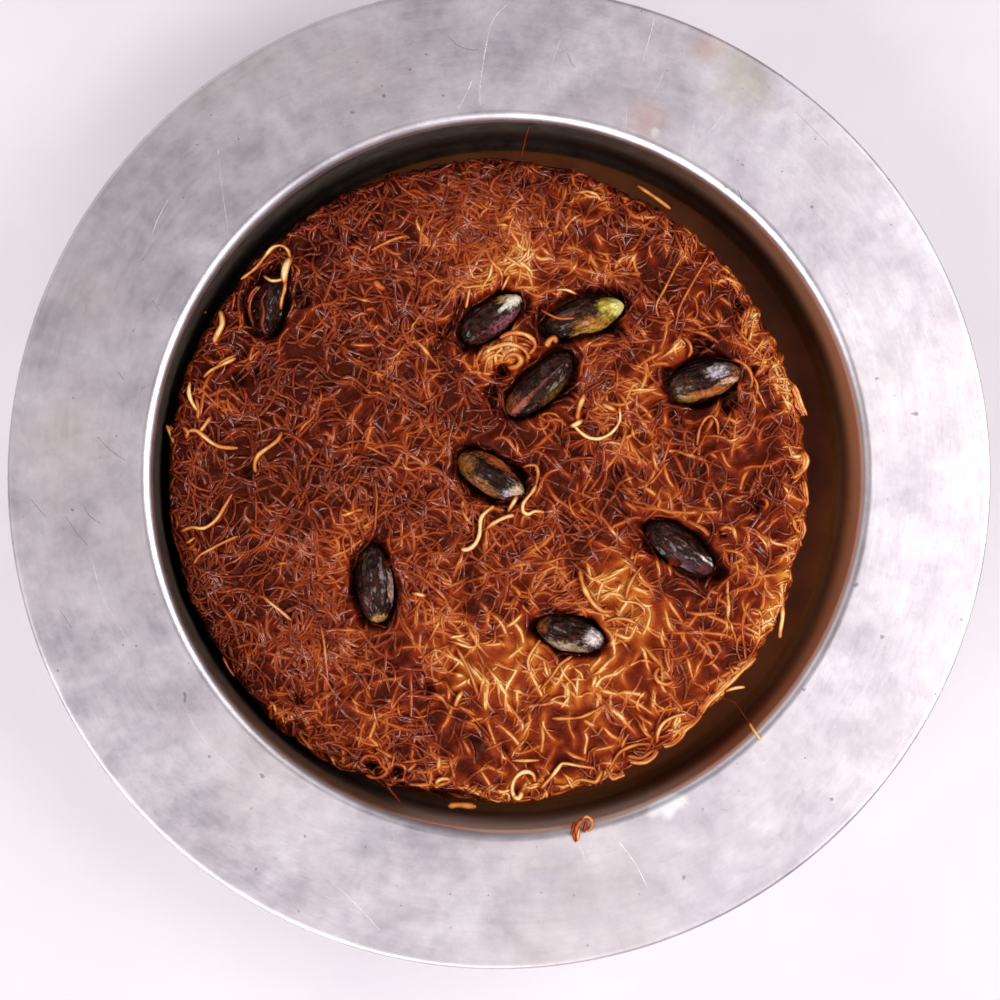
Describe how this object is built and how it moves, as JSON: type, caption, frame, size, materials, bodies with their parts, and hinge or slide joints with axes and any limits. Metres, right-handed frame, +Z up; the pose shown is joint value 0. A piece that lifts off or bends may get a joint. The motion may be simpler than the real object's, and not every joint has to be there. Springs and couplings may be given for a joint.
{
  "type": "kunafa in a metal dish",
  "caption": "Round cake of baked shredded pastry strands with pistachio kernels in its crust, lying in a deep metal dish with a wide flat rim.",
  "frame": {"origin": "on the table under the middle of the rim", "axes": "+Z up along the dish's axis; +X to the right and +Y to the top of the picture, which looks straight down"},
  "size_m": [0.2198, 0.2198, 0.0327],
  "materials": {
    "dish_metal": "worn satin metal with fine scratches and a polished lip",
    "browned_strands": "baked pastry strands, red-brown to amber, glazed with syrup",
    "pistachio": "roasted pistachio skin, purple-brown to black, green where the skin is gone"
  },
  "bodies": {
    "root": {"dish": "dish_metal", "kunafa": "browned_strands", "pistachio_1": "pistachio", "pistachio_2": "pistachio", "pistachio_3": "pistachio", "pistachio_4": "pistachio", "pistachio_5": "pistachio", "pistachio_6": "pistachio", "pistachio_7": "pistachio", "pistachio_8": "pistachio", "pistachio_9": "pistachio"}
  },
  "joints": []
}
